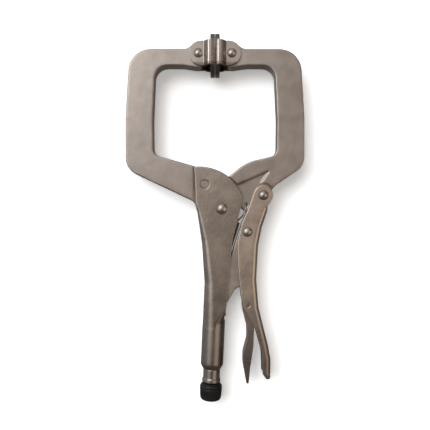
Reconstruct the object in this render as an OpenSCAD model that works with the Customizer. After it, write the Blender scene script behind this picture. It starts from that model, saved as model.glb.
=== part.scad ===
// Locking C-clamp pliers with swivel pads, closed, lying flat.
// +Y points to the jaws, +X to the lever side, +Z up from the bench.
// The drawing datum is the point where the pads meet, level with the middle of the tool.

/* [Jaws] */
// Height of the pad rivets above the main pivot
jaw_reach = 117; // [95:1:145]
// Distance from the line where the pads meet to the inside of each arm
throat_half = 46.6; // [38:0.2:60]
// Width of the upright part of each arm
arm_w = 21; // [16:0.5:26]
// Height of the top bar of each arm
bar_h = 12.6; // [10:0.2:16]
// Thickness of the forged arms
arm_t = 13; // [12:0.5:16]
// Thickness of the flat part of the jaws that sits between the handle's cheeks
hub_t = 11.2; // [9:0.1:11.5]
// Radius of the moving jaw's hub about the main pivot
hub_r = 12.4; // [10:0.2:14]
// Gap between the two jaws at the hub and at the seat
hub_gap = 0.4; // [0.3:0.1:0.8]

/* [Handle] */
// Length from the main pivot to the end of the tube
handle_len = 122; // [105:1:150]
// Thickness of the handle's sheet
handle_sheet = 2.7; // [2:0.1:3.2]
// Side clearance of each plate between the cheeks
side_gap = 0.2; // [0.1:0.05:0.4]
// Radius of the bend along the back of the handle
back_r = 4.6; // [3.2:0.1:5.5]
// Radius of the cheeks' round end
cheek_r = 35.8; // [33:0.2:37]
// Outside diameter of the tube at the end of the handle
tube_d = 17.2; // [17.2:0.1:19]
// Lean of the tube and screw away from the Y axis, in degrees
screw_lean = 2.5; // [0:0.5:4]

/* [Screw] */
// Major diameter of the adjusting thread
thread_d = 10; // [8:0.5:11]
// Running clearance of the screw in the bush and the knob, on the radius
screw_fit = 0.05; // [0.02:0.01:0.1]
// Outside diameter of the bush where it shows
neck_d = 12.9; // [12:0.1:15]
// Length of the bush that shows past the tube
neck_len = 10.2; // [8:0.2:14]
// Length of the bush that is pressed into the tube
bush_grip = 16; // [10:1:20]
// Diameter of the knob
knob_d = 17; // [14:0.5:20]
// Length of the knob
knob_len = 13.2; // [10:0.2:18]
// Gap between the knob and the bush when the screw is fully in
knob_gap = 0.5; // [0.3:0.1:1]
// Number of grooves in the knob's knurl
knurl_count = 30; // [20:2:40]

/* [Linkage] */
// Lever rivet, to the right of the main pivot
lever_pivot_dx = 31.2; // [29:0.2:33]
// Lever rivet, above the main pivot
lever_pivot_dy = 10.3; // [9:0.1:12]
// Link rivet, to the left of the lever rivet
link_pivot_dx = 12; // [11:0.2:13]
// Link rivet, below the lever rivet
link_pivot_dy = 27.7; // [26:0.2:30]
// Depth of the link's foot below the main pivot
foot_drop = 77.4; // [74:0.2:79]
// Radius of the link's foot
foot_r = 4.2; // [3.5:0.1:4.6]
// Room between the link's foot and the tip of the screw
foot_gap = 4.4; // [4.2:0.1:6]
// Side clearance of the toggle link inside the lever
link_gap = 1; // [0.3:0.1:1.5]
// Thickness of the lever's sheet
lever_sheet = 2.4; // [1.8:0.1:2.6]
// Radius of the bend along the back of the lever
lever_back_r = 3.6; // [2.8:0.1:4.5]
// Radius of the lever's round end
lever_end_r = 7.4; // [6.5:0.1:8]
// Thickness of the release lever's sheet
release_sheet = 1.8; // [1.2:0.1:2.2]
// Side clearance of the release lever inside the lever
release_gap = 0.4; // [0.3:0.1:0.8]

/* [Pads] */
// Length of the pad's face
pad_len = 31; // [26:0.5:36]
// Width of the pad's face
pad_w = 25.4; // [24:0.2:30]
// Thickness of the pad's plate
pad_t = 3.4; // [2.4:0.1:4]
// Distance from the pad rivet to the pad's face
pad_face = 12.3; // [11.5:0.1:14]
// Gap between the two pads when closed
pad_gap = 0.6; // [0.4:0.1:1]
// Thickness of the pad's ears
ear_t = 2.2; // [1.6:0.1:2.6]
// Radius of the pad's ears
ear_r = 9.3; // [8:0.1:10]
// Side clearance of the pad's ears on the arm
ear_gap = 0.2; // [0.1:0.05:0.4]

/* [Fasteners] */
// Shank diameter of the main pivot rivet
main_rivet_d = 7; // [5:0.5:8]
// Shank diameter of the lever and link rivets
link_rivet_d = 6; // [4:0.5:6.5]
// Shank diameter of the pad rivets
pad_rivet_d = 5.5; // [4:0.5:6]
// Diameter of the flush rivet in the jaw's tang
tang_rivet_d = 6; // [4:0.5:7]
// Diameter of the release lever's pin
release_pin_d = 3; // [2:0.5:4]
// Running clearance of each rivet in what turns on it, on the radius
rivet_fit = 0.05; // [0.02:0.01:0.1]
// How far a rivet's head reaches past its shank
head_lip = 1.0; // [0.6:0.1:1.5]
// Height of a rivet's domed head
head_h = 1.9; // [1.2:0.1:2.5]

/* [Spring] */
// Outside diameter of the spring's coil
spring_d = 5.4; // [4:0.1:6]
// Diameter of the spring's wire
wire_d = 1.1; // [0.8:0.1:1.4]
// Length of the spring's coil
coil_len = 26.6; // [22:0.2:32]

/* [Hidden] */
$fn = 48;
eps = 0.01;
far = 200;

// Main stations of the tool
pivot = [5.2, 5.9];
lever_pivot = pivot + [lever_pivot_dx, lever_pivot_dy];
link_pivot = lever_pivot - [link_pivot_dx, link_pivot_dy];
pad_y = pivot.y + jaw_reach;
pad_x = pad_face + pad_gap / 2;
outer_x = throat_half + arm_w;
bar_top = pad_y + 3.8;
bar_low = bar_top - bar_h;

// The screw's axis: a line through screw_base that leans by screw_lean
tube_end_y = pivot.y - handle_len;
screw_base = [-2.5 - (handle_len - 122) * tan(screw_lean), tube_end_y];
function screw_x(y) = screw_base.x + (y - screw_base.y) * tan(screw_lean);
link_foot = [screw_x(pivot.y - foot_drop), pivot.y - foot_drop];
foot_up = (link_foot.y - screw_base.y) / cos(screw_lean);
neck_end = -neck_len;
knob_top = neck_end - knob_gap;
knob_end = knob_top - knob_len;
tip_up = foot_up - foot_r - foot_gap;

// The box of the whole tool is centred on the origin in X and Y, and stands on Z = 0
tool_top = pad_y + pad_len / 2;
tool_low = screw_base.y + knob_end * cos(screw_lean) - knob_d / 2 * sin(screw_lean);
mid_y = (tool_top + tool_low) / 2;
mid_z = pad_w / 2;

// Widths across the tool
cheek_gap = hub_t + 2 * side_gap;
handle_w = cheek_gap + 2 * handle_sheet;
lever_w = cheek_gap + 2 * lever_sheet;
release_w = cheek_gap - 2 * release_gap;
link_t = cheek_gap - 2 * link_gap;
release_pin_at = [24.7, -66.7];
tang_rivet_at = [-7.6, 24.2];
cheek_at = [-12, 2];
mouth_y = -77;
channel_end = mouth_y - 1.4;
web_top = 3.8;
tube_bore_d = neck_d - 0.9;
seat_angle = 96.6;

// Outlines are lists of [x, y, radius] corners
function unit(v) = v / norm(v);
function flat(p) = [p.x, p.y];
function turn_between(a, b) = let (d = b - a) d > 180 ? d - 360 : d < -180 ? d + 360 : d;
function arc(c, r, a0, a1, step = 9) =
    let (n = max(2, ceil(abs(a1 - a0) / step)))
    [for (i = [0:n]) let (a = a0 + (a1 - a0) * i / n) c + r * [cos(a), sin(a)]];
function corner(p, q, s) =
    len(q) < 3 || q[2] == 0 ? [flat(q)] :
    let (
        a = unit(flat(p) - flat(q)),
        b = unit(flat(s) - flat(q)),
        half = acos(a * b) / 2,
        c = flat(q) + unit(a + b) * q[2] / sin(half),
        t0 = flat(q) + a * q[2] / tan(half) - c,
        t1 = flat(q) + b * q[2] / tan(half) - c,
        a0 = atan2(t0.y, t0.x),
        sweep = turn_between(a0, atan2(t1.y, t1.x))
    )
    arc(c, q[2], a0, a0 + sweep);
function rounded(pts) =
    let (n = len(pts))
    [for (i = [0:n - 1]) each corner(pts[(i + n - 1) % n], pts[i], pts[(i + 1) % n])];
function slice(pts, a, b = 99) = [for (i = [a:min(b, len(pts) - 1)]) pts[i]];
function mirrored(pts) = [for (p = pts) [-p.x, p.y, p[2]]];

module place() { translate([0, -mid_y, mid_z]) children(); }
module slab(t) { translate([0, 0, -t / 2]) linear_extrude(t) children(); }
module at(p) { translate([p.x, p.y, 0]) children(); }
module bore(p, d, l = 60) { at(p) translate([0, 0, -l / 2]) cylinder(d = d, h = l); }
module on_screw() { translate([screw_base.x, screw_base.y, 0]) rotate([0, 0, -screw_lean]) children(); }
// Turns a profile of [radius, height along the screw] about the screw's axis
module turned() { on_screw() rotate([-90, 0, 0]) rotate_extrude($fn = 64) children(); }

// ---- Jaws ----

// Corners that both arms share, from the pad to the start of the lower arm, on the right side
outer_corners = [
    [pad_x + 1.2, pad_y + 10.3, 3],
    [pad_x + 8.4, bar_top, 8],
    [outer_x - 3, bar_top, 17],
    [outer_x, pad_y - 48, 60]
];
inner_corners = [
    [throat_half + 0.4, pad_y - 51, 60],
    [throat_half - 1.4, bar_low, 9.5],
    [pad_x + 11, bar_low, 12],
    [pad_x - 1, pad_y - 10.6, 3],
    [pad_x - 7, pad_y - 3, 1.6],
    [pad_x - 7, pad_y + 3, 1.6]
];
seat_out = [cos(seat_angle), sin(seat_angle)];
seat_top = pivot + 27.7 * seat_out;

module fixed_outline() {
    polygon(rounded(concat(
        mirrored(outer_corners),
        [
            [-outer_x, pivot.y + 29.8, 14],
            [-15.6, 11.2, 6],
            [-13.6, web_top + 0.2, 0],
            [-9.8, web_top + 0.2, 0],
            [-7.4, -17, 2],
            [-3.4, -17, 2],
            [pivot.x, pivot.y, 0],
            [seat_top.x, seat_top.y, 0],
            [-12, 37.4, 4],
            [-17, 38.6, 12],
            [-throat_half, pivot.y + 41, 6.5]
        ],
        mirrored(inner_corners)
    )));
}
module fixed_jaw_2d() {
    difference() {
        fixed_outline();
        at(pivot) circle(hub_r + hub_gap);
    }
}
module moving_outline() {
    union() {
        polygon(rounded(concat(
            outer_corners,
            [
                [outer_x, pivot.y + 32.5, 13],
                [45.8, 23.6, 2.4]
            ],
            arc(lever_pivot, lever_end_r + 0.2, 32, -86, 8),
            [
                [30, 4.6, 4],
                [23.4, 3.4, 1.4],
                [18, 8.2, 1],
                [pivot.x, pivot.y, 0],
                [pivot.x + hub_gap, pivot.y, 0],
                [pivot.x + hub_gap, pivot.y + hub_r, 0],
                [4.2, 25.2, 0.8],
                [10.5, 30.4, 0],
                [19.3, 37.6, 10],
                [27, 41.8, 14],
                [throat_half, pivot.y + 40.6, 6.5]
            ],
            inner_corners
        )));
        at(pivot) circle(hub_r);
    }
}
// The part of the moving jaw that is thinned for the cheeks and the lever's ears
module recess_2d() {
    at(cheek_at) circle(cheek_r + 0.6, $fn = 96);
    polygon([[8, 20.6], [41.4, 35], [33.2, 22.8], [29, 14], [29, -20], [8, -20]]);
    at(lever_pivot) circle(lever_end_r + 1.6);
    polygon([[28, -20], [28, 16], [44.4, 16], [60, -20]]);
}
module fixed_jaw() {
    color([0.66, 0.63, 0.60]) place() difference() {
        union() {
            slab(hub_t) fixed_jaw_2d();
            slab(arm_t) difference() {
                fixed_jaw_2d();
                cheek_cut_2d();
            }
        }
        bore(tang_rivet_at, tang_rivet_d);
        bore([-pad_x, pad_y], pad_rivet_d);
    }
}
module moving_jaw() {
    color([0.55, 0.50, 0.46]) place() difference() {
        union() {
            slab(hub_t) moving_outline();
            slab(arm_t) difference() {
                moving_outline();
                recess_2d();
            }
        }
        bore(pivot, main_rivet_d + 2 * rivet_fit);
        bore(lever_pivot, link_rivet_d);
        bore([pad_x, pad_y], pad_rivet_d);
        bore(spring_eye, wire_d + 1.3);
    }
}

// ---- Handle ----

// The back of the handle, from the web's top to the tube
back_line = [
    [-14.2, 9.5],
    [-9.9, -21],
    [screw_x(-50) - tube_d / 2 + 0.15, -50],
    [screw_x(mouth_y - 6) - tube_d / 2 + 0.15, mouth_y - 6]
];
module handle_outline() {
    polygon(rounded(concat(
        arc(cheek_at, cheek_r, 22.9, 96.1, 5),
        back_line,
        [
            [screw_x(mouth_y - 6) + tube_d / 2 - 1, mouth_y - 6, 0],
            [screw_x(mouth_y + 1) + tube_d / 2 - 0.6, mouth_y + 1, 1],
            [screw_x(-66) + tube_d / 2 + 0.4, -68, 6],
            [10.4, -43, 60],
            [13.4, -17, 40],
            [19.8, 8, 8]
        ]
    )));
}
// What the cheeks cover, with the thick part of the fixed jaw ending beside it
module cheek_cut_2d() {
    at(cheek_at) intersection() {
        circle(cheek_r + 0.2, $fn = 96);
        translate([-4.1, 0]) square([far, far]);
    }
    polygon([[-16.1, 38], [-13.8, web_top], [-13.8, -far], [far, -far], [far, 38]]);
}
// Cuts the two long corners of a plate w wide to a radius r, where its back runs from p to q
// with the plate to the left of that way
module back_bend(p, q, w, r) {
    d = unit(q - p);
    lap = 0.8;
    translate([p.x, p.y, 0]) rotate([0, 0, atan2(d.y, d.x)]) translate([-lap, 0, 0])
        rotate([90, 0, 90]) linear_extrude(norm(q - p) + 2 * lap)
            for (s = [-1, 1]) scale([1, s]) polygon(concat(
                arc([r, w / 2 - r], r, 90, 180, 15),
                [[-4, w / 2 - r], [-4, w / 2 + 2], [r, w / 2 + 2]]
            ));
}
module back_bends(line, w, r) {
    for (i = [0:len(line) - 2]) back_bend(line[i], line[i + 1], w, r);
}
module fixed_handle() {
    color([0.56, 0.52, 0.48]) place() difference() {
        union() {
            difference() {
                slab(handle_w) handle_outline();
                back_bends(concat([[back_line[0].x, web_top]], slice(back_line, 1)), handle_w, back_r);
            }
            turned() polygon(rounded([
                [0, 0, 0], [neck_d / 2 + 0.2, 0, 0.4], [tube_d / 2, 3.6, 3],
                [tube_d / 2, mouth_y - tube_end_y - 0.5, 3],
                [tube_d / 2 - 3, mouth_y - tube_end_y + 2.5, 0], [0, mouth_y - tube_end_y + 2.5, 0]
            ]));
        }
        // the channel between the cheeks, open to the right and ending at the tube's mouth
        slab(cheek_gap) polygon(concat(
            [for (p = slice(back_line, 0, 2)) p + [handle_sheet, 0]],
            [[screw_x(channel_end) - tube_d / 2 + handle_sheet, channel_end], [far, channel_end], [far, far],
             [back_line[0].x + handle_sheet, far]]
        ));
        // the window in the back that the fixed jaw comes out of
        translate([-far / 2, web_top, -cheek_gap / 2]) cube([far, far, cheek_gap]);
        on_screw() rotate([-90, 0, 0]) translate([0, 0, -1])
            cylinder(d = tube_bore_d, h = mouth_y - tube_end_y + 4);
        bore(pivot, main_rivet_d);
        bore(tang_rivet_at, tang_rivet_d);
        // the hole in the web that the spring's lower end hooks through
        translate([anchor.x - 6, anchor.y, 0]) rotate([0, 90, 0]) cylinder(d = wire_d + 0.6, h = 8);
    }
}

// ---- Lever, link and release lever ----

lever_back = [
    [40.2, 5.8], [35.4, -8], [32.6, -22], [31.2, -48],
    [33, -69], [40, -97], [42, -108], [41.8, -118]
];
module lever_outline() {
    polygon(rounded(concat(
        arc(lever_pivot, lever_end_r, -24, 168, 8),
        [
            [25.4, 6.8, 6],
            [20, -5, 12],
            [16.8, -20, 20],
            [17.6, -40, 30],
            [19.6, -60, 20],
            [21.4, -68.6, 6],
            [30.2, -84.6, 6],
            [35.4, -103, 20],
            [35.8, -118.4, 3],
            [38.6, -122.4, 1.6],
            [41.6, -122.2, 1.6]
        ],
        [for (i = [len(lever_back) - 1:-1:1]) lever_back[i]],
        [[lever_back[0].x, lever_back[0].y, 1], [39.2, 7, 1.4]]
    )));
}
module lever() {
    color([0.57, 0.53, 0.49]) place() difference() {
        slab(lever_w) lever_outline();
        // the back runs upward here, so that the lever lies to the left of it
        back_bends([for (i = [len(lever_back) - 1:-1:0]) lever_back[i]], lever_w, lever_back_r);
        // the channel between the flanges, open to the left
        slab(cheek_gap) polygon(concat(
            [for (p = lever_back) p - [lever_sheet, 0]],
            [[lever_back[len(lever_back) - 1].x - lever_sheet, -far], [-far, -far], [-far, lever_back[0].y]]
        ));
        // the web stops short of the moving jaw's heel
        translate([0, lever_back[0].y - 1.2, -cheek_gap / 2]) cube([far, far, cheek_gap]);
        bore(lever_pivot, link_rivet_d + 2 * rivet_fit);
        bore(link_pivot, link_rivet_d);
        bore(release_pin_at, release_pin_d);
    }
}

// A point of the link: l along it from the link rivet, s to its left
link_dir = unit(link_foot - link_pivot);
link_len = norm(link_foot - link_pivot);
function on_link(l, s, r = 0) =
    let (p = link_pivot + link_dir * l + [link_dir.y, -link_dir.x] * s) [p.x, p.y, r];
module link_outline() {
    at(link_pivot) circle(6.4);
    at(link_foot) circle(foot_r);
    polygon(rounded([
        on_link(0, 6.4), on_link(21, 4.5, 30), on_link(link_len, foot_r),
        on_link(link_len + 1.5, -3.9), on_link(54.6, -6.9, 6), on_link(43.6, -8.2, 4),
        on_link(39, -12.4, 2), on_link(32, -11.6, 6), on_link(20, -7.4, 16), on_link(0, -6.4)
    ]));
}
module toggle_link() {
    color([0.36, 0.33, 0.31]) place() difference() {
        slab(link_t) link_outline();
        bore(link_pivot, link_rivet_d + 2 * rivet_fit);
    }
}

module release_outline() {
    polygon(rounded([
        [20.2, -58.4, 3], [20.6, -70, 10], [24, -83.4, 12], [24.2, -92, 10],
        [21.2, -103, 16], [21, -111, 16], [23.6, -125.6, 2], [24.6, -127, 0.8], [25.6, -125.6, 1],
        [26.6, -115, 10], [29.2, -98, 14], [29.6, -84, 10], [28.6, -70, 4], [25.8, -57.4, 3.2]
    ]));
}
module release_lever() {
    color([0.45, 0.41, 0.38]) place() difference() {
        slab(release_w) release_outline();
        slab(release_w - 2 * release_sheet)
            translate([release_sheet, 0]) union() {
                release_outline();
                translate([2.4, 0]) release_outline();
            }
        bore(release_pin_at, release_pin_d + 2 * rivet_fit);
    }
}

// ---- Fasteners ----

// A rivet through a stack w thick, with a domed head at each end
module rivet(p, d, w) {
    head_d = d + 2 * head_lip;
    dome_r = (head_d * head_d / 4 + head_h * head_h) / (2 * head_h);
    at(p) {
        translate([0, 0, -w / 2 - eps]) cylinder(d = d, h = w + 2 * eps);
        for (s = [0, 1]) mirror([0, 0, s]) intersection() {
            translate([0, 0, w / 2 + head_h - dome_r]) sphere(dome_r, $fn = 64);
            translate([0, 0, w / 2]) cylinder(d = head_d + 1, h = head_h + 1);
        }
    }
}
module main_rivet() { color([0.70, 0.66, 0.60]) place() rivet(pivot, main_rivet_d, handle_w); }
module lever_rivet() {
    color([0.70, 0.66, 0.60]) place() rivet(lever_pivot, link_rivet_d, lever_w + 2 * rivet_fit);
}
module link_rivet() { color([0.70, 0.66, 0.60]) place() rivet(link_pivot, link_rivet_d, lever_w); }
module tang_rivet() {
    color([0.58, 0.54, 0.50]) place() at(tang_rivet_at)
        translate([0, 0, -handle_w / 2]) cylinder(d = tang_rivet_d, h = handle_w);
}
module release_pin() {
    color([0.40, 0.37, 0.34]) place() at(release_pin_at)
        translate([0, 0, -lever_w / 2]) cylinder(d = release_pin_d, h = lever_w);
}

// ---- Screw ----

module threaded_bush() {
    color([0.60, 0.56, 0.50]) place() turned() difference() {
        polygon(rounded([
            [0, bush_grip, 0], [tube_bore_d / 2, bush_grip, 0.6], [tube_bore_d / 2, 0, 0],
            [neck_d / 2, 0, 0], [neck_d / 2, neck_end + 3.4, 1], [neck_d / 2 + 0.5, neck_end + 2.6, 0.5],
            [neck_d / 2 + 0.5, neck_end, 0.6], [0, neck_end, 0]
        ]));
        translate([0, neck_end - 1]) square([thread_d / 2 + screw_fit, bush_grip - neck_end + 2]);
    }
}
module adjusting_screw() {
    r = thread_d / 2;
    color([0.50, 0.47, 0.43]) place() turned() polygon(rounded([
        [0, tip_up, 0], [r * 0.5, tip_up, 0.8], [r * 0.56, tip_up - 4, 0], [r, tip_up - 6, 0],
        [r, knob_end + 2.2, 0], [0, knob_end + 2.2, 0]
    ]));
}
module screw_knob() {
    color([0.08, 0.08, 0.08]) place() difference() {
        turned() polygon(rounded([
            [0, knob_top, 0], [knob_d / 2 - 1.8, knob_top, 0.6], [knob_d / 2, knob_top - 1.8, 0.8],
            [knob_d / 2, knob_end + 2, 1], [knob_d / 2 - 2, knob_end, 1], [0, knob_end, 0]
        ]));
        on_screw() for (i = [0:knurl_count - 1]) rotate([0, i * 360 / knurl_count, 0])
            translate([knob_d / 2 + 0.25, knob_end + 2.6, 0]) rotate([-90, 0, 0])
                cylinder(r = 0.75, h = knob_len - 5, $fn = 16);
        on_screw() translate([0, knob_end + 2.2 - screw_fit, 0]) rotate([-90, 0, 0])
            cylinder(r = thread_d / 2 + screw_fit, h = knob_len);
    }
}

// ---- Pads ----

// One swivel pad about its own rivet, facing +X
module pad_body(shank_d) {
    back = pad_face - pad_t;
    ear_in = arm_t / 2 + ear_gap;
    ear_out = ear_in + ear_t;
    rim_out = pad_w / 2;
    rim_in = rim_out - ear_t;
    rim_back = back - 2.4;
    edge_half = 9.2;
    difference() {
        union() {
            // the plate, with its four corners cut off
            translate([back, 0, 0]) rotate([90, 0, 90]) linear_extrude(pad_t)
                polygon([for (s = [[1, 1], [-1, 1], [-1, -1], [1, -1]])
                    each (s.x * s.y > 0
                        ? [[s.x * pad_len / 2, s.y * 5], [s.x * edge_half, s.y * rim_out]]
                        : [[s.x * edge_half, s.y * rim_out], [s.x * pad_len / 2, s.y * 5]])]);
            // the two ears, each joined to the plate by a rim that stands further out
            for (s = [0, 1]) mirror([0, 0, s]) intersection() {
                rotate([90, 0, 0]) translate([0, 0, -20]) linear_extrude(40) polygon([
                    [-20, ear_in], [rim_back - 1, ear_in], [rim_back + 1.4, rim_in], [back + eps, rim_in],
                    [back + eps, rim_out], [rim_back, rim_out], [rim_back - 2.2, ear_out], [-20, ear_out]
                ]);
                union() {
                    translate([2.4, 0, 0]) cylinder(r = ear_r, h = 30, $fn = 72);
                    translate([2.4, -edge_half, 0]) cube([30, 2 * edge_half, 30]);
                }
            }
        }
        translate([0, 0, -30]) cylinder(d = shank_d, h = 60);
    }
}
module fixed_pad() {
    color([0.62, 0.58, 0.55]) place() at([-pad_x, pad_y]) pad_body(pad_rivet_d + 2 * rivet_fit);
}
module moving_pad() {
    color([0.50, 0.45, 0.43]) place() at([pad_x, pad_y]) mirror([1, 0, 0])
        pad_body(pad_rivet_d + 2 * rivet_fit);
}
pad_stack = arm_t + 2 * ear_gap + 2 * ear_t + 2 * rivet_fit;
module fixed_pad_rivet() {
    color([0.70, 0.66, 0.60]) place() rivet([-pad_x, pad_y], pad_rivet_d, pad_stack);
}
module moving_pad_rivet() {
    color([0.70, 0.66, 0.60]) place() rivet([pad_x, pad_y], pad_rivet_d, pad_stack);
}

// ---- Spring ----

spring_eye = [23.4, 8.6];
anchor = [-6.2, -42];
coil_dir = unit([-8.9, -27.8, 0]);
coil_top = [17.2, -2.6, 0] + 1.3 * coil_dir;
coil_low = coil_top + coil_dir * coil_len;
hook_z = hub_t / 2 + wire_d / 2 + 0.12;
module rod(p, q) {
    v = q - p;
    lap = wire_d * 0.4;
    translate(p) rotate([0, acos(v.z / norm(v)), atan2(v.y, v.x)]) translate([0, 0, -lap])
        cylinder(d = wire_d, h = norm(v) + 2 * lap, $fn = 8);
}
module wire(pts) {
    for (i = [0:len(pts) - 2]) rod(pts[i], pts[i + 1]);
}
// The spring's outer shape: its coil, and the wire that hooks over each end
module tension_spring() {
    color([0.25, 0.22, 0.20]) place() union() {
        translate(coil_top) rotate([0, 90, atan2(coil_dir.y, coil_dir.x)])
            cylinder(d = spring_d, h = coil_len);
        wire([
            coil_top + coil_dir, [20.4, 0.4, 4.6], [21.8, 2.2, hook_z],
            [spring_eye.x, spring_eye.y, hook_z], [spring_eye.x, spring_eye.y, 0]
        ]);
        wire([coil_low - coil_dir, [anchor.x + 1.6, anchor.y, 0], [anchor.x - 2.2, anchor.y, 0]]);
    }
}

fixed_handle();
fixed_jaw();
tang_rivet();
main_rivet();
moving_jaw();
lever();
lever_rivet();
toggle_link();
link_rivet();
release_lever();
release_pin();
tension_spring();
threaded_bush();
adjusting_screw();
screw_knob();
fixed_pad();
fixed_pad_rivet();
moving_pad();
moving_pad_rivet();
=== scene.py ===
import math

import bmesh
import bpy
from mathutils import Matrix, Vector


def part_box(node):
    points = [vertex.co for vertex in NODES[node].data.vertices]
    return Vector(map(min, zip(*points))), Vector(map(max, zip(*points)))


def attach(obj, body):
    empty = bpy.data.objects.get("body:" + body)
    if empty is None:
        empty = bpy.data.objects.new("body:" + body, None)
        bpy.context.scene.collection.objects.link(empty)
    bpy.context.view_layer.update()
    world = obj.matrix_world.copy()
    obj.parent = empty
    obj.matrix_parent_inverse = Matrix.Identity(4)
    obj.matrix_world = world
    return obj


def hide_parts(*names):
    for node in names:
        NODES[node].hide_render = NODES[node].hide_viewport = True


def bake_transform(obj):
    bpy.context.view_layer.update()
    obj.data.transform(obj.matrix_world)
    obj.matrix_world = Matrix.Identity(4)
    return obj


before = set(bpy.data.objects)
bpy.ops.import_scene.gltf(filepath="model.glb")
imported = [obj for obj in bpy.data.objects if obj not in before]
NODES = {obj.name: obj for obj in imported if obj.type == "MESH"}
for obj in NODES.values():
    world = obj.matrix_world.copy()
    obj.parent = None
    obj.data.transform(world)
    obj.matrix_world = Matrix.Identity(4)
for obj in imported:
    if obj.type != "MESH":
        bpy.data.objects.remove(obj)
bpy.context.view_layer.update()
SCENE = bpy.context.scene
MM = 0.001

# The camera looks straight down on the pliers, which lie on one side
CAMERA_AT = (0.0, 0.0022, 0.4427)
CAMERA_SPAN = 41.9    # degrees across the picture
SENSOR_MM = 36.0
cam_data = bpy.data.cameras.new("camera")
cam_data.sensor_width = SENSOR_MM
cam_data.lens = SENSOR_MM / 2 / math.tan(math.radians(CAMERA_SPAN / 2))
cam_data.clip_start, cam_data.clip_end = 0.01, 10.0
camera = bpy.data.objects.new("camera", cam_data)
camera.location = CAMERA_AT
SCENE.collection.objects.link(camera)
SCENE.camera = camera
SCENE.view_settings.view_transform = "Standard"


# ---- materials ----

class Nodes:
    """A material's node tree, with short calls for what the finishes share."""

    def __init__(self, name):
        self.mat = bpy.data.materials.new(name)
        self.mat.use_nodes = True
        self.tree = self.mat.node_tree
        self.tree.nodes.clear()
        self.shader = self.add("ShaderNodeBsdfPrincipled")
        out = self.add("ShaderNodeOutputMaterial")
        self.link(self.shader.outputs["BSDF"], out.inputs["Surface"])
        self.coord = self.add("ShaderNodeTexCoord").outputs["Object"]

    def add(self, kind, **values):
        node = self.tree.nodes.new(kind)
        for key, value in values.items():
            setattr(node, key, value)
        return node

    def link(self, a, b):
        self.tree.links.new(a, b)

    def noise(self, scale, detail=3.0, rough=0.55):
        node = self.add("ShaderNodeTexNoise")
        node.inputs["Scale"].default_value = scale
        node.inputs["Detail"].default_value = detail
        node.inputs["Roughness"].default_value = rough
        self.link(self.coord, node.inputs["Vector"])
        return node.outputs["Fac"]

    def remap(self, value, a, b, to_a, to_b):
        node = self.add("ShaderNodeMapRange", clamp=True)
        for key, number in (("From Min", a), ("From Max", b), ("To Min", to_a), ("To Max", to_b)):
            node.inputs[key].default_value = number
        self.link(value, node.inputs["Value"])
        return node.outputs["Result"]

    def maths(self, how, a, b):
        node = self.add("ShaderNodeMath", operation=how)
        for socket, value in zip(node.inputs, (a, b)):
            if isinstance(value, (int, float)):
                socket.default_value = value
            else:
                self.link(value, socket)
        return node.outputs["Value"]

    def mix(self, fac, a, b):
        node = self.add("ShaderNodeMix", data_type="RGBA")
        sockets = [s for s in node.inputs if s.enabled and s.name in ("Factor", "A", "B")]
        for socket, value in zip(sockets, (fac, a, b)):
            if isinstance(value, tuple):
                socket.default_value = value
            else:
                self.link(value, socket)
        return [s for s in node.outputs if s.enabled][0]

    def bump(self, height, strength, distance, normal=None):
        node = self.add("ShaderNodeBump")
        node.inputs["Strength"].default_value = strength
        node.inputs["Distance"].default_value = distance
        self.link(height, node.inputs["Height"])
        if normal is not None:
            self.link(normal, node.inputs["Normal"])
        return node.outputs["Normal"]


def steel(name, base, rough, mottle=0.10, grain=0.5, wear=0.5, metallic=1.0, hollow_shade=0.55, ends=None, shade_fade=None):
    """A plated or bare steel: blotchy tone, a fine satin grain, paler, smoother edges and painted shade in its
    hollows.

    ends is (y of the middle, half length): beyond that the plate is darkened with painted shade.
    fade is (y where the painted shade starts, y where it is darkest).
    """
    m = Nodes(name)
    patch = m.noise(70.0, 5.0, 0.6)
    fine = m.noise(1500.0, 4.0, 0.7)
    dark = tuple(c * (1 - mottle) for c in base) + (1,)
    pale = tuple(min(1, c * (1 + mottle)) for c in base) + (1,)
    bright = tuple(min(1, c * 1.45 + 0.03) for c in base) + (1,)
    # The colour of painted shade, laid in the hollows, beyond the ends and towards the tail
    shade_tone = tuple(c * 0.45 for c in base) + (1,)

    # Tone: patches, rubbed edges, and painted shade darkening the hollows
    tone = m.mix(m.remap(patch, 0.35, 0.65, 0, 1), dark, pale)
    edge = m.add("ShaderNodeNewGeometry").outputs["Pointiness"]
    rub = m.maths("MULTIPLY", m.remap(edge, 0.51, 0.56, 0, wear), m.remap(patch, 0.3, 0.6, 0.5, 1))
    tone = m.mix(rub, tone, bright)
    # Painted shade: the hollows, where the surface curves inward, are darkened
    tone = m.mix(m.remap(edge, 0.44, 0.49, hollow_shade, 0), tone, shade_tone)

    # Painted shade: darker beyond the ends and towards the tail
    if ends or shade_fade:
        place = m.add("ShaderNodeSeparateXYZ")
        m.link(m.coord, place.inputs["Vector"])
    if ends:
        off = m.maths("ABSOLUTE", m.maths("SUBTRACT", place.outputs["Y"], ends[0]), 0)
        tone = m.mix(m.remap(off, ends[1] - 0.0004, ends[1] + 0.0006, 0, PAINTED_SHADE), tone, shade_tone)
    if shade_fade:
        tone = m.mix(m.remap(place.outputs["Y"], shade_fade[1], shade_fade[0], PAINTED_SHADE, 0), tone, shade_tone)
    m.link(tone, m.shader.inputs["Base Color"])
    m.shader.inputs["Metallic"].default_value = metallic

    # Roughness: patches and grain, smoother where it is rubbed
    spread = m.maths("ADD", m.remap(patch, 0.3, 0.7, rough - 0.05, rough + 0.05),
                     m.remap(fine, 0.3, 0.7, -0.03, 0.03))
    m.link(m.maths("SUBTRACT", spread, m.maths("MULTIPLY", rub, 0.12)), m.shader.inputs["Roughness"])

    # Bump: slow waves under the satin grain
    normal = m.bump(m.noise(160.0, 3.0), 0.25, 0.0004)
    normal = m.bump(fine, grain, 0.00004, normal)
    m.link(normal, m.shader.inputs["Normal"])
    return m.mat


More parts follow.
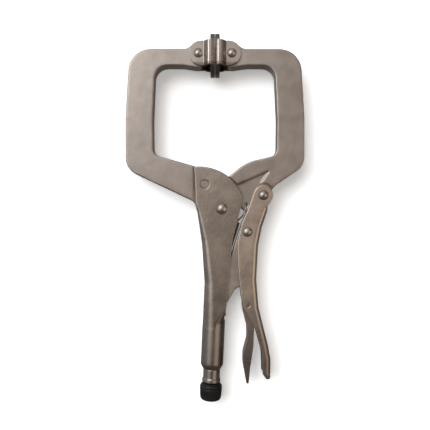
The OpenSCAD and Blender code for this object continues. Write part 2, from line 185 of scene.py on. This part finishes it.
PAINTED_SHADE = 0.85    # how much of the painted shade's tone the darkest ends and tail have
FORGED = steel("forged_nickel", (0.55, 0.485, 0.44), 0.38, wear=0.35, hollow_shade=0.35)
# Painted shade darkens the handle towards its tube, the levers towards their tails and the pads towards their
# tips
PRESSED = steel("pressed_nickel", (0.53, 0.462, 0.41), 0.27, wear=0.35, shade_fade=(-0.03, -0.19))
LEVER = steel("lever_nickel", (0.80, 0.68, 0.585), 0.30, wear=0.1, shade_fade=(-0.045, -0.108))
CATCH = steel("catch_nickel", (0.50, 0.44, 0.40), 0.30, wear=0.2, shade_fade=(-0.07, -0.14))
FLUSH = steel("flush_nickel", (0.52, 0.455, 0.405), 0.32, wear=0.05, hollow_shade=0.25)
PAD = steel("pad_nickel", (0.52, 0.455, 0.42), 0.28, wear=0.15, ends=(0.1255, 0.0085))
LINK = steel("link_steel", (0.62, 0.56, 0.51), 0.40, mottle=0.16, wear=0.2)
RIVET = steel("rivet_chrome", (0.60, 0.54, 0.48), 0.26, grain=0.25, wear=0.2)
SCREW = steel("screw_steel", (0.50, 0.44, 0.40), 0.27)
SPRING = steel("spring_steel", (0.52, 0.47, 0.43), 0.28, grain=0.3)
KNOB = steel("black_knob", (0.008, 0.0075, 0.007), 0.40, mottle=0.3, metallic=0.3)

FINISH = {
    "fixed_jaw": FORGED, "moving_jaw": FORGED,
    "fixed_handle": PRESSED, "lever": LEVER, "release_lever": CATCH,
    "tang_rivet": FLUSH, "main_rivet": RIVET, "lever_rivet": RIVET, "link_rivet": RIVET,
    "release_pin": PRESSED, "toggle_link": LINK, "threaded_bush": SCREW,
    "adjusting_screw": SCREW, "screw_knob": KNOB, "tension_spring": SPRING,
    "fixed_pad": PAD, "moving_pad": PAD, "fixed_pad_rivet": RIVET, "moving_pad_rivet": RIVET,
}
for name, finish in FINISH.items():
    if not NODES[name].material_slots:
        NODES[name].data.materials.append(finish)
    for slot in NODES[name].material_slots:
        slot.material = finish


# ---- the CAD's own solids, with their corners eased ----

def ease(name, voxel, rounds):
    """A node's hard corners are rounded, as forging, pressing and plating leave them."""
    node = NODES[name]
    remesh = node.modifiers.new("ease", "REMESH")
    remesh.mode = "VOXEL"
    remesh.voxel_size = voxel * MM
    remesh.use_smooth_shade = True
    smooth = node.modifiers.new("even", "SMOOTH")
    smooth.factor = 0.5
    smooth.iterations = rounds


# A node's voxel size in millimetres and its rounds of smoothing
EASE = {
    "fixed_jaw": (0.5, 12), "moving_jaw": (0.5, 12), "lever": (0.4, 5),
    "toggle_link": (0.4, 4), "release_lever": (0.3, 4), "threaded_bush": (0.25, 3),
    "main_rivet": (0.2, 5), "lever_rivet": (0.2, 5), "link_rivet": (0.2, 5),
    "fixed_pad_rivet": (0.2, 5), "moving_pad_rivet": (0.2, 5), "tang_rivet": (0.2, 4),
    "release_pin": (0.15, 3),
}
for name, (voxel, rounds) in EASE.items():
    ease(name, voxel, rounds)


# ---- meshes of our own, in the drawing's millimetres ----

DATUM = Vector((0, 0.974, 12.7))
LEAN = math.radians(2.5)
SCREW_BASE = Vector((-2.5, -116.1, 0))
SCREW_UP = Vector((math.sin(LEAN), math.cos(LEAN), 0))
SCREW_SIDE = Vector((math.cos(LEAN), -math.sin(LEAN), 0))


def row(p):
    """A point of the drawing, in metres in the shared frame."""
    return (Vector(p) + DATUM) * MM


def screw_x(y):
    """Where the screw's leaning axis is at y."""
    return SCREW_BASE.x + (y - SCREW_BASE.y) * math.tan(LEAN)


def between(table, y):
    """The value at y of a table of (y, value) that runs downward."""
    for (y0, v0), (y1, v1) in zip(table, table[1:]):
        if y >= y1:
            t = min(1, max(0, (y0 - y) / (y0 - y1)))
            return v0 + (v1 - v0) * t
    return table[-1][1]


def mesh_of(name, verts, faces, finish=None):
    """A mesh of points in the drawing's millimetres, its faces turned outward."""
    mesh = bpy.data.meshes.new(name)
    mesh.from_pydata([row(v) for v in verts], [], faces)
    bm = bmesh.new()
    bm.from_mesh(mesh)
    bmesh.ops.recalc_face_normals(bm, faces=bm.faces)
    bm.to_mesh(mesh)
    bm.free()
    if finish:
        mesh.materials.append(finish)
    return mesh


def thing(name, mesh):
    """An object of a mesh, in the scene."""
    o = bpy.data.objects.new(name, mesh)
    SCENE.collection.objects.link(o)
    return o


def loft(sections):
    """Verts and faces of a closed skin through closed sections of equal length."""
    n = len(sections[0])
    verts = [p for s in sections for p in s]
    faces = []
    for i in range(len(sections) - 1):
        for k in range(n):
            a, b = i * n + k, i * n + (k + 1) % n
            faces.append((a, b, b + n, a + n))
    faces.append(tuple(range(n))[::-1])
    faces.append(tuple(range((len(sections) - 1) * n, len(sections) * n)))
    return verts, faces


def baked(o, name, finish):
    """A plain mesh of o with its modifiers applied; o is removed."""
    bpy.context.view_layer.update()
    graph = bpy.context.evaluated_depsgraph_get()
    mesh = bpy.data.meshes.new_from_object(o.evaluated_get(graph))
    mesh.name = name
    bpy.data.objects.remove(o)
    mesh.materials.clear()
    mesh.materials.append(finish)
    mesh.polygons.foreach_set("use_smooth", [True] * len(mesh.polygons))
    return mesh


def arc_points(cx, cz, r, a0, a1, n):
    """n steps round an arc from angle a0 to a1, in degrees."""
    return [(cx + r * math.cos(math.radians(a0 + (a1 - a0) * i / n)),
             cz + r * math.sin(math.radians(a0 + (a1 - a0) * i / n))) for i in range(n + 1)]


def rounded_box(y, left, right, r_left, r_right, half):
    """A section across the handle at y: a box with its own corner radius on each side."""
    out = []
    for cx, cz, r, a in (
        (right - r_right, half - r_right, r_right, 0), (left + r_left, half - r_left, r_left, 90),
        (left + r_left, r_left - half, r_left, 180), (right - r_right, r_right - half, r_right, 270),
    ):
        out += arc_points(cx, cz, r, a, a + 90, 12)
    return [(x, y, z) for x, z in out]


def welded_copy(node, name):
    """A CAD node's mesh as an object of its own, its shared corners joined."""
    bm = bmesh.new()
    bm.from_mesh(NODES[node].data)
    bmesh.ops.remove_doubles(bm, verts=bm.verts, dist=1e-6)
    mesh = bpy.data.meshes.new(name)
    bm.to_mesh(mesh)
    bm.free()
    return thing(name, mesh)


def boolean(o, how, other):
    """A boolean modifier on o."""
    mod = o.modifiers.new(how, "BOOLEAN")
    mod.operation = how
    mod.solver = "EXACT"
    mod.object = other


def skinned(o, voxel, rounds):
    """Voxel remesh and smoothing modifiers on o, which join and soften it."""
    remesh = o.modifiers.new("skin", "REMESH")
    remesh.mode = "VOXEL"
    remesh.voxel_size = voxel * MM
    smooth = o.modifiers.new("even", "SMOOTH")
    smooth.iterations = rounds


def stands_for(piece, node, body):
    """The piece replaces a CAD node and rides on a body."""
    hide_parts(node)
    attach(piece, body)


# The handle: its back bends wider and wider until it closes into the tube. Tables of (y, x) or
# (y, corner radius) for its closed back and its open side
TUBE_HALF, TUBE_FROM = 8.75, -84
BACK_X = [(40, -30), (9.5, -14.2), (-21, -9.9), (-50, screw_x(-50) - 8.45), (-83, screw_x(-83) - 8.5)]
BACK_R = [(40, 0.5), (8, 0.8), (3.8, 2.4), (-7, 3.8), (-17, 5.0), (-39, 6.2), (-60, 7.3), (-76, 8.4)]
OPEN_X = [(40, 40), (-20, 20), (-50, 13), (-66, 9.6), (-69.6, 8.8), (-73, 8.4), (-77, 8.0),
          (-83, screw_x(-83) + 8.7)]
OPEN_R = [(40, 0.4), (-66, 0.5), (-69.6, 0.8), (-73, 3.4), (-77, 6.0), (-81, 8.4)]
HANDLE_HALF = 8.5
STATIONS = [40, 20, 9.5, 6, 3.8, 0, -4, -8, -13, -18, -24, -32, -40, -50, -58, -63, -66, -68, -69.6,
            -71, -73, -75, -77, -79, -81, -83, -90, -118]
LINING_FROM, LINING_TO, LINING_T = 3.8, -81, 1.6
LIP_AT, LIP_R = (7.6, -73.8, 6.5), 1.0


def handle_sections():
    """The outside of the handle, from the cheeks to the end of the tube."""
    outer = []
    for y in STATIONS:
        if y > TUBE_FROM:
            left, right = between(BACK_X, y), between(OPEN_X, y)
            r_left, r_right = between(BACK_R, y), between(OPEN_R, y)
            half = HANDLE_HALF + 0.02
        else:
            half = r_left = r_right = TUBE_HALF
            left, right = screw_x(y) - half, screw_x(y) + half
        outer.append(rounded_box(y, left, right, r_left, min(r_right, half), half))
    return outer


def lining_sections():
    """A thin lining inside the rounded back, where rounding would leave the sheet too thin."""
    lining = []
    half = HANDLE_HALF - 0.1
    for y in [y for y in STATIONS if LINING_FROM >= y >= LINING_TO]:
        left, r = between(BACK_X, y) + 0.1, between(BACK_R, y)
        inner = max(0.4, r - LINING_T)
        section = arc_points(left + r, half - r, r, 90, 180, 10)
        section += arc_points(left + r, r - half, r, 180, 270, 10)
        section += arc_points(left + LINING_T + inner, inner + LINING_T - half, inner, 270, 180, 10)
        section += arc_points(left + LINING_T + inner, half - LINING_T - inner, inner, 180, 90, 10)
        lining.append([(x, y, z) for x, z in section])
    return lining


def build_handle():
    shell = welded_copy("fixed_handle", "shell")
    cutter = thing("cutter", mesh_of("cutter", *loft(handle_sections())))
    boolean(shell, "INTERSECT", cutter)
    mesh = baked(shell, "handle_shell", PRESSED)
    bpy.data.objects.remove(cutter)
    bm = bmesh.new()
    bm.from_mesh(mesh)
    bm.from_mesh(mesh_of("lining", *loft(lining_sections())))
    bmesh.ops.create_icosphere(bm, subdivisions=3, radius=LIP_R * MM,
                               matrix=Matrix.Translation(row(LIP_AT)))
    bm.to_mesh(mesh)
    bm.free()
    rough = thing("rough_handle", mesh)
    skinned(rough, 0.36, 7)
    piece = thing("handle_shell", baked(rough, "handle_shell", PRESSED))
    stands_for(piece, "fixed_handle", "handle")


build_handle()


# The pads: PAD_X is from the middle of the tool to a pad's pivot
PAD_X, PAD_TOP, PAD_FACE, PAD_EARS = 12.6, 12.72, 12.32, 5.0
RIM_R = 3.0
PAD_STRETCH = 1.02    # smoothing draws the face back: this brings it forward to meet the other


def build_pad(node, body, sign):
    """A swivel pad whose rims roll over towards the face and back towards the ears."""
    lo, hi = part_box(node)
    middle = (lo[1] + hi[1]) / 2 / MM - DATUM.y
    pivot_x = -sign * PAD_X
    clear = 13.5    # above the pad, where nothing is cut
    rim = [(-20, clear), (PAD_EARS, clear)]
    rim += arc_points(PAD_EARS + 0.4 + RIM_R, PAD_TOP - RIM_R, RIM_R, 165, 90, 10)
    rim += arc_points(PAD_FACE - RIM_R, PAD_TOP - RIM_R, RIM_R, 90, 0, 10)
    rim += [(x, -z) for x, z in reversed(rim)]
    ends = [[(pivot_x + sign * x, middle + y, z) for x, z in rim] for y in (-17, 17)]
    if sign < 0:
        ends.reverse()
    rough = welded_copy(node, "rough_pad")
    cutter = thing("rim_cutter", mesh_of("rim_cutter", *loft(ends)))
    boolean(rough, "INTERSECT", cutter)
    skinned(rough, 0.2, 3)
    mesh = baked(rough, "rolled_" + node, PAD)
    bpy.data.objects.remove(cutter)
    from_x = row((pivot_x, 0, 0)).x
    for v in mesh.vertices:
        v.co.x = from_x + (v.co.x - from_x) * PAD_STRETCH
    stands_for(thing("rolled_" + node, mesh), node, body)


build_pad("fixed_pad", "left_pad", 1)
build_pad("moving_pad", "right_pad", -1)


def tube_along(points, radius, sides=10):
    """A round wire through points, with its ends closed."""
    points = [Vector(p) for p in points]
    sections = []
    side = None
    for i, p in enumerate(points):
        d = (points[min(i + 1, len(points) - 1)] - points[max(i - 1, 0)]).normalized()
        if side is None:
            side = d.orthogonal().normalized()
        side = (side - d * side.dot(d)).normalized()
        up = d.cross(side)
        sections.append([p + radius * (math.cos(a) * side + math.sin(a) * up)
                         for a in (2 * math.pi * k / sides for k in range(sides))])
    return loft(sections)


def smooth_path(points, parts=6):
    """A Catmull-Rom curve through the points."""
    points = [Vector(p) for p in points]
    ends = [2 * points[0] - points[1]] + points + [2 * points[-1] - points[-2]]
    out = []
    for i in range(len(points) - 1):
        a, b, c, d = ends[i:i + 4]
        for k in range(parts):
            t = k / parts
            out.append(0.5 * (2 * b + (c - a) * t + (2 * a - 5 * b + 4 * c - d) * t * t
                              + (3 * b - a - 3 * c + d) * t ** 3))
    return out + [points[-1]]


# The spring: a coil from low in the handle to the hub, with a hook through the jaw's heel
COIL_DIR = Vector((-8.9, -27.8, 0)).normalized()
COIL_TOP = Vector((17.2, -2.6, 0)) + 1.3 * COIL_DIR
COIL_LEN = 26.6
COIL_LOW = COIL_TOP + COIL_DIR * COIL_LEN
WIRE_R = 0.55
COIL_R = 2.7 - WIRE_R
COIL_TURNS = 19
ANCHOR = Vector((-6.2, -42, 0))
EYE = Vector((23.4, 8.6, 0))
HOOK_Z = 6.27


def build_spring():
    up, across = Vector((0, 0, 1)), Vector((-COIL_DIR.y, COIL_DIR.x, 0))
    inset = 0.7    # from each end of the coil's length to the middle of its wire
    points = COIL_TURNS * 20
    coil = []
    for i in range(points + 1):
        a = 2 * math.pi * COIL_TURNS * i / points
        along = COIL_DIR * (inset + (COIL_LEN - 2 * inset) * i / points)
        coil.append(COIL_TOP + along + COIL_R * (math.cos(a) * up + math.sin(a) * across))
    upper = smooth_path([(EYE.x, EYE.y, 0.3), (EYE.x, EYE.y, 4.4), (EYE.x - 0.3, EYE.y - 1.0, HOOK_Z),
                         (22.6, 5.0, HOOK_Z), (21.4, 1.6, HOOK_Z - 0.2), (19.6, -0.8, 4.6),
                         (17.6, -2.6, 3.0)])
    lower = smooth_path([COIL_LOW - COIL_DIR * 0.4 + Vector((0, 0, 1.6)), COIL_LOW + COIL_DIR * 1.4,
                         ANCHOR + Vector((3.4, 1.2, 0)), ANCHOR,
                         ANCHOR - Vector((2.0, 0, 0))])
    verts, faces = tube_along(upper + coil + lower, WIRE_R)
    spring = thing("coil_spring", mesh_of("coil_spring", verts, faces, SPRING))
    spring.data.polygons.foreach_set("use_smooth", [True] * len(faces))
    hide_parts("tension_spring")
    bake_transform(spring)


build_spring()


def turned_skin(name, stations, radius, around, finish, body, node):
    """A closed skin about the screw's axis: radius(s, a) at s along it and angle a about it."""
    sections = []
    for s in stations:
        ring = []
        for k in range(around):
            a = 2 * math.pi * k / around
            r = radius(s, a)
            ring.append(SCREW_BASE + SCREW_UP * s + r * (math.cos(a) * SCREW_SIDE
                                                         + math.sin(a) * Vector((0, 0, 1))))
        sections.append(ring)
    verts, faces = loft(sections)
    o = thing(name, mesh_of(name, verts, faces, finish))
    o.data.polygons.foreach_set("use_smooth", [True] * len(faces))
    stands_for(o, node, body)


def steps(a, b, n):
    """n equal steps from a to b."""
    return [a + (b - a) * i / n for i in range(n + 1)]


# The screw and the knob: lengths are along the screw's axis, downward negative
SCREW_TIP, SCREW_END, THREAD_R, PITCH = 36.04, -21.7, 4.98, 1.25
THREAD_END, THREAD_DEPTH = 30, 0.7
CONE_FROM, CONE_R = SCREW_TIP - 4, 2.6
TIP_ROUND = 0.9


def clamp(value):
    return min(1, max(0, value))


def screw_radius(s, a):
    """A thread that runs out below a cone with a rounded tip."""
    phase = (s / PITCH - a / (2 * math.pi)) % 1
    wave = clamp(1.25 * (2 * abs(phase - 0.5)) - 0.125)
    depth = THREAD_DEPTH * clamp((THREAD_END - s) / 1.5)
    bare = THREAD_R
    if s > THREAD_END - 2:
        bare = min(THREAD_R, CONE_R + max(0, (CONE_FROM - s)) * 1.25)
    tip = 0 if s < SCREW_TIP - TIP_ROUND else (s - SCREW_TIP + TIP_ROUND) ** 2 * 0.6
    return bare - depth * wave - tip


turned_skin("threaded_screw", steps(SCREW_END, SCREW_TIP, 370), screw_radius, 40, SCREW,
            "screw_body", "adjusting_screw")

# The knob's side, as (place along the axis, radius)
KNOB_SHAPE = [(-10.7, 5.1), (-10.75, 6.5), (-11.1, 7.2), (-12.3, 8.1), (-13.0, 8.42), (-14.0, 8.45),
              (-14.2, 8.1), (-14.6, 8.1), (-14.8, 8.4), (-16, 8.4), (-20.4, 8.15), (-20.8, 7.85),
              (-21.2, 8.0), (-22.4, 7.7), (-23.3, 7.0), (-23.8, 5.9), (-23.9, 4.6)]
KNURLS, KNURL_DEPTH = 30, 0.42
KNURL_TOP, KNURL_END = -14.9, -20.3


def knob_radius(s, a):
    """The knob's side with knurls round its middle."""
    inside = clamp((KNURL_TOP - s) / 0.4) * clamp((s - KNURL_END) / 0.4)
    ridge = abs(math.sin(KNURLS / 2 * a)) ** 0.7
    return between(KNOB_SHAPE, s) - KNURL_DEPTH * inside * (1 - ridge)


knob_stations = sorted({s for s, _ in KNOB_SHAPE} | set(steps(-15.6, -20.2, 8)), reverse=True)
turned_skin("knurled_knob", knob_stations, knob_radius, 360, KNOB,
            "knob_body", "screw_knob")


# ---- floor and light ----

ROOM_R = 3.0
floor_mesh = bpy.data.meshes.new("floor")
floor_mesh.from_pydata([(-ROOM_R, -ROOM_R, 0), (ROOM_R, -ROOM_R, 0), (ROOM_R, ROOM_R, 0), (-ROOM_R, ROOM_R, 0)],
                       [], [(0, 1, 2, 3)])
floor = bpy.data.objects.new("floor", floor_mesh)
floor.location.z = -0.0002    # just under the tool
SCENE.collection.objects.link(floor)
pale = Nodes("pale_floor")
pale.link(pale.mix(pale.noise(3.0), (0.93, 0.93, 0.93, 1), (0.97, 0.97, 0.97, 1)),
          pale.shader.inputs["Base Color"])
pale.shader.inputs["Roughness"].default_value = 0.9
pale.shader.inputs["Emission Color"].default_value = (1.0, 1.0, 1.0, 1)
pale.shader.inputs["Emission Strength"].default_value = 0.30
floor_mesh.materials.append(pale.mat)
floor.visible_glossy = False    # the tool's edges mirror the dark of the room, not the table

# A pale wall all round, bent up from the floor, for the views from low down
WALL = [(2.2, 0.0), (2.45, 0.03), (2.7, 0.13), (2.9, 0.33), (ROOM_R, 0.7), (ROOM_R, 4.0)]
SIDES = 48
wall_mesh = bpy.data.meshes.new("backdrop")
wall_mesh.from_pydata(
    [(r * math.cos(2 * math.pi * k / SIDES), r * math.sin(2 * math.pi * k / SIDES), z)
     for r, z in WALL for k in range(SIDES)], [],
    [(i * SIDES + k, i * SIDES + (k + 1) % SIDES, (i + 1) * SIDES + (k + 1) % SIDES, (i + 1) * SIDES + k)
     for i in range(len(WALL) - 1) for k in range(SIDES)])
wall = bpy.data.objects.new("backdrop", wall_mesh)
SCENE.collection.objects.link(wall)
wall_mesh.materials.append(pale.mat)
wall.visible_glossy = wall.visible_diffuse = wall.visible_shadow = False


def lamp(name, light, at, aim):
    """A light at a place, shining along aim."""
    o = bpy.data.objects.new(name, light)
    o.location = at
    o.rotation_mode = "QUATERNION"
    o.rotation_quaternion = aim.to_track_quat("-Z", "Y")
    SCENE.collection.objects.link(o)
    return o


# A small softbox up and to the left puts a point of light on each domed rivet
GLINT_AT, GLINT_SIZE = Vector((-0.46, 0.46, 0.90)), 0.14
glint = bpy.data.lights.new("glint", "AREA")
glint.shape = "RECTANGLE"
glint.size, glint.size_y = GLINT_SIZE, GLINT_SIZE
glint.energy = 0.7
lamp("glint", glint, GLINT_AT, -GLINT_AT)

# A broad sun lights the floor without a glare on the metal
sun = bpy.data.lights.new("daylight", "SUN")
sun.energy = 3.0
sun.angle = math.radians(60)
daylight = lamp("daylight", sun, (0, 0, 0), Vector((0.62, -0.62, -1.0)))
daylight.visible_glossy = False

world = bpy.data.worlds.new("studio")
SCENE.world = world
world.use_nodes = True
tree = world.node_tree
back = tree.nodes["Background"]
direction = tree.nodes.new("ShaderNodeTexCoord").outputs["Generated"]


def sky_part(towards, a, b, low, high, easing="SMOOTHSTEP"):
    """A number for each direction of the sky: low before a along towards, high beyond b."""
    dot = tree.nodes.new("ShaderNodeVectorMath")
    dot.operation = "DOT_PRODUCT"
    dot.inputs[1].default_value = towards
    tree.links.new(direction, dot.inputs[0])
    part = tree.nodes.new("ShaderNodeMapRange")
    part.interpolation_type = easing
    for key, number in (("From Min", a), ("From Max", b), ("To Min", low), ("To Max", high)):
        part.inputs[key].default_value = number
    tree.links.new(dot.outputs["Value"], part.inputs["Value"])
    return part.outputs["Result"]


def sky_mix(blend, fac, a, b):
    """Two colours of the sky, mixed or added by a part of it."""
    mix = tree.nodes.new("ShaderNodeMix")
    mix.data_type = "RGBA"
    mix.blend_type = blend
    sockets = [x for x in mix.inputs if x.enabled and x.name in ("Factor", "A", "B")]
    for socket, value in zip(sockets, (fac, a, b)):
        if isinstance(value, tuple):
            socket.default_value = value
        else:
            tree.links.new(value, socket)
    return [x for x in mix.outputs if x.enabled][0]


# The sky is pale up and to the left and dark down and to the right, so that plain faces shade
# across the tool and the eased edges draw light and dark lines
SKY = [(0.0, (0.10, 0.088, 0.078)), (0.2, (0.17, 0.145, 0.125)), (0.42, (0.46, 0.405, 0.36)),
       (0.67, (0.90, 0.90, 0.90)), (1.0, (1.35, 1.38, 1.40))]
DARK_LOW, DARK_NEAR, WARM_STRIP = (0.14, 0.135, 0.13, 1), (0.09, 0.08, 0.075, 1), (0.52, 0.45, 0.36, 1)
sky = tree.nodes.new("ShaderNodeValToRGB")
ramp = sky.color_ramp
while len(ramp.elements) < len(SKY):
    ramp.elements.new(0.5)
for element, (position, colour) in zip(ramp.elements, SKY):
    element.position = position
    element.color = colour + (1,)
tree.links.new(sky_part((-1.1, 0.75, 0), -0.42, 0.78, 0.0, 1.0, "LINEAR"), sky.inputs["Fac"])

low = sky_part((0, 0, 1), 0.40, 0.93, 0.85, 0.0)
shaded = sky_mix("MIX", low, sky.outputs["Color"], DARK_LOW)
near = sky_part((0, -1, 0), 0.09, 0.32, 0.0, 0.75)
shaded = sky_mix("MIX", near, shaded, DARK_NEAR)
strip = sky_part((0.66, -0.10, 0.74), 0.86, 0.97, 0.0, 1.0)
tree.links.new(sky_mix("ADD", strip, shaded, WARM_STRIP), back.inputs["Color"])
back.inputs["Strength"].default_value = 1.0
